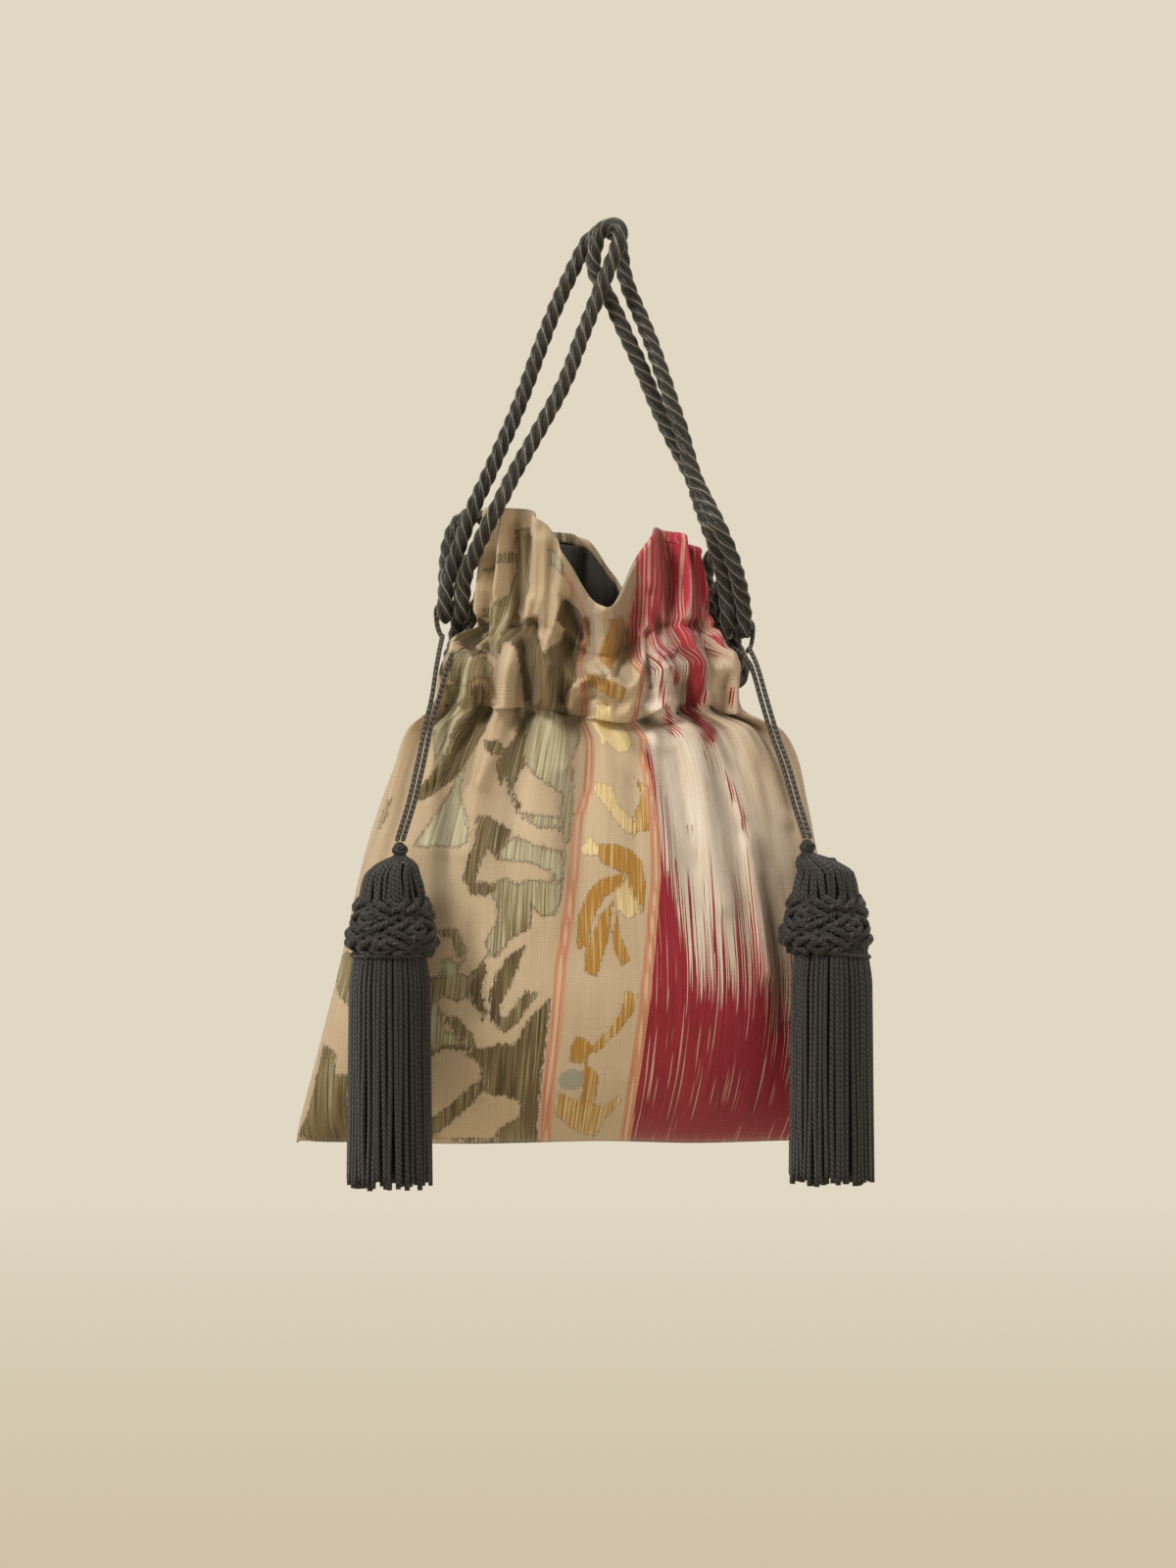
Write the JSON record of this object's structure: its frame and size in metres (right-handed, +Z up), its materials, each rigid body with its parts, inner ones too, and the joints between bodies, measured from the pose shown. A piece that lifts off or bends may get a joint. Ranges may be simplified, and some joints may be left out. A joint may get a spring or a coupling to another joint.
{
  "type": "drawstring pouch",
  "caption": "Gathered brocade drawstring pouch hung by two twisted rope handles that run through its casing, with a braided tassel at each side.",
  "frame": {"origin": "hang point under the top bends of the rope handles", "axes": "+Z up, -Y towards the front of the pouch, +X to the right seen from the front"},
  "size_m": [0.2331, 0.1139, 0.3913],
  "materials": {
    "brocade": "velvet and silk brocade with leaf scrolls, gold flowers and crimson strie",
    "lining": "plain woven charcoal lining",
    "rope": "twisted satin cord, charcoal",
    "tassel_cord": "thin braided cord, charcoal",
    "tassel_silk": "knotted and hanging chainette strands, charcoal"
  },
  "bodies": {
    "pouch": {"front_panel": "brocade", "back_panel": "brocade", "front_lining": "lining", "back_lining": "lining", "front_handle_rope": "rope", "back_handle_rope": "rope", "front_casing_rope": "rope", "back_casing_rope": "rope"},
    "tassel_left": {"tassel_cord_left": "tassel_cord", "tassel_knot_left": "tassel_silk", "tassel_head_left": "tassel_silk", "tassel_collar_left": "tassel_silk", "tassel_binding_left": "tassel_silk", "tassel_skirt_left": "tassel_silk"},
    "tassel_right": {"tassel_cord_right": "tassel_cord", "tassel_knot_right": "tassel_silk", "tassel_head_right": "tassel_silk", "tassel_collar_right": "tassel_silk", "tassel_binding_right": "tassel_silk", "tassel_skirt_right": "tassel_silk"}
  },
  "joints": [
    {"name": "tassel_left_swing", "type": "hinge", "parent": "pouch", "child": "tassel_left", "pos_m": [-0.06275, -0.0025, -0.151], "axis": [-1, 0, 0], "range_deg": [0, 90]},
    {"name": "tassel_right_swing", "type": "hinge", "parent": "pouch", "child": "tassel_right", "pos_m": [0.05215, -0.0025, -0.1575], "axis": [-1, 0, 0], "range_deg": [0, 90]}
  ]
}
